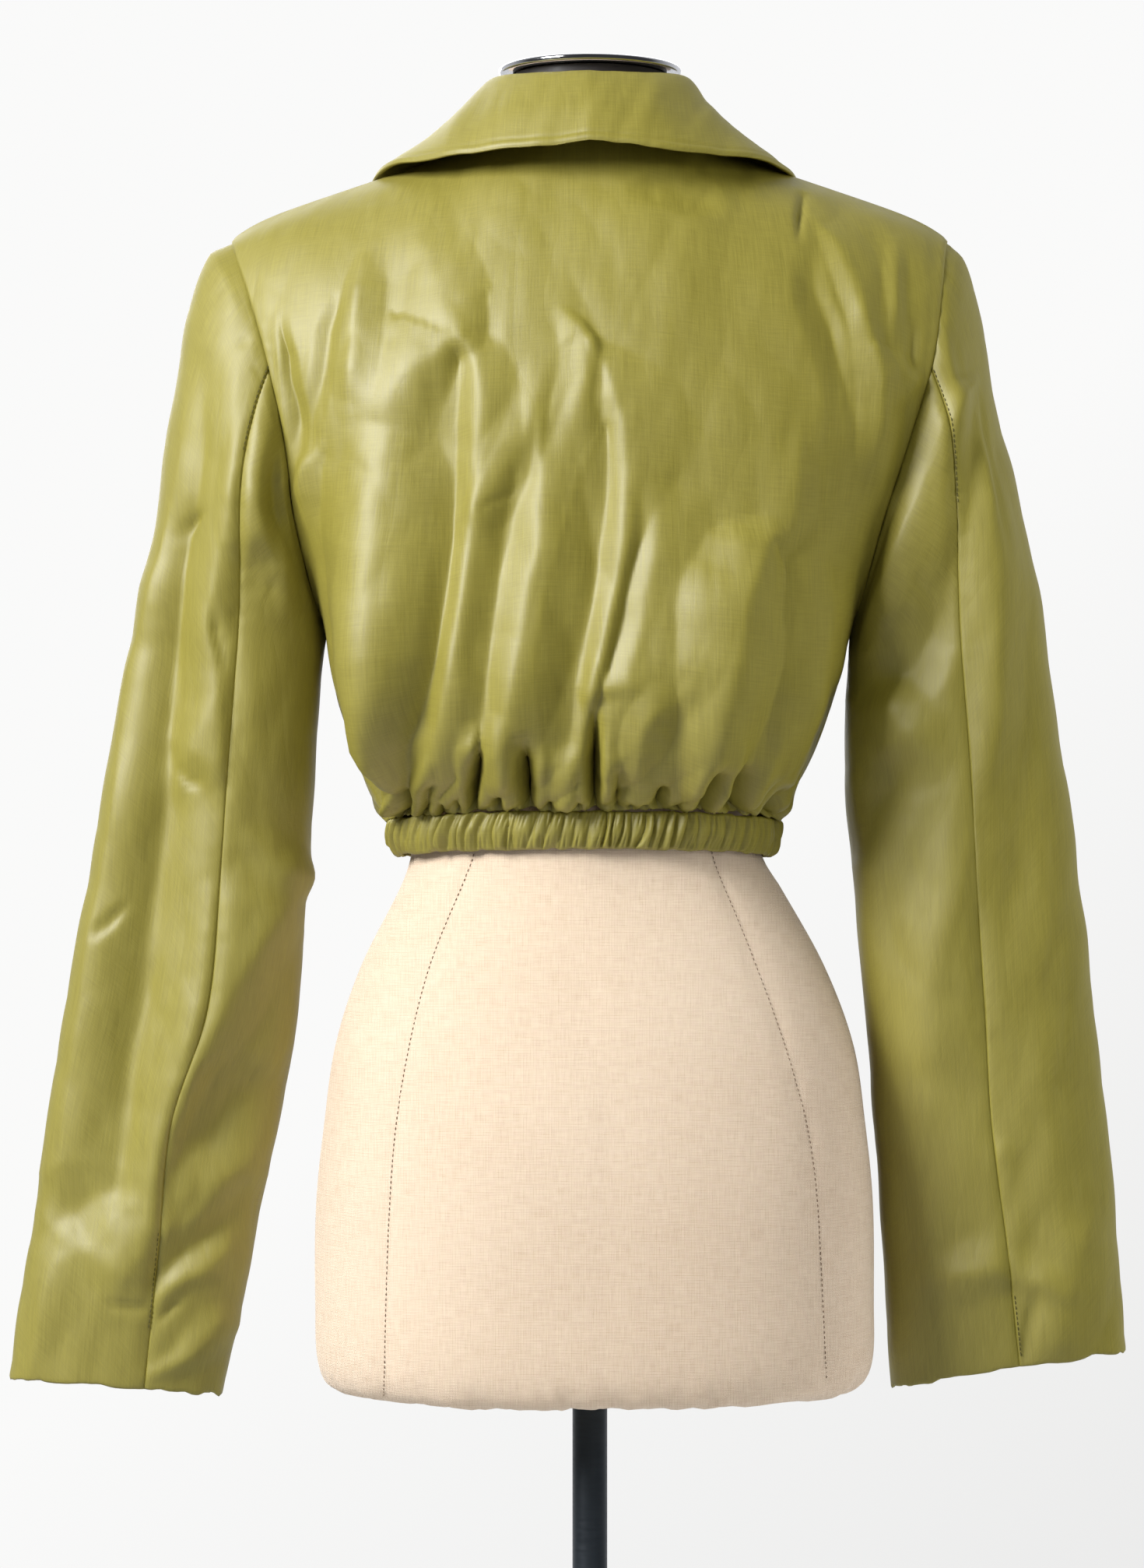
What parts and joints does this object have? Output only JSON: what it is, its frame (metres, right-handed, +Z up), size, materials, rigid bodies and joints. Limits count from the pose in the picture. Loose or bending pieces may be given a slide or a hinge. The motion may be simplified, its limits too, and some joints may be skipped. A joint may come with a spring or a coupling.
{
  "type": "blazer on a dress form",
  "caption": "Cropped blazer with notched collar, lapels, long sleeves and a gathered waistband, worn on a limbless linen dress form with a neck cap, pole and flat round base.",
  "frame": {"origin": "on the floor, at the centre of the base plate's underside, on the axis of the pole", "axes": "+Z up along the pole; the blazer's front faces -Y and its back +Y; +X is the wearer's left"},
  "size_m": [0.6735, 0.38, 1.514],
  "materials": {
    "cloth": "soft sheen",
    "button": "polished",
    "linen": "matte",
    "chrome": "polished",
    "dark_metal": "satin"
  },
  "bodies": {
    "root": {"back_panel": "cloth", "front_left": "cloth", "front_right": "cloth", "lapel_left": "cloth", "lapel_right": "cloth", "top_sleeve_left": "cloth", "top_sleeve_right": "cloth", "under_sleeve_left": "cloth", "under_sleeve_right": "cloth", "collar": "cloth", "waistband_back": "cloth", "waistband_left": "cloth", "waistband_right": "cloth", "button_break": "button", "button_band": "button", "form_body": "linen", "neck_ring": "dark_metal", "neck_cap": "chrome", "pole": "dark_metal", "pole_socket": "dark_metal", "base_plate": "dark_metal"}
  },
  "joints": []
}
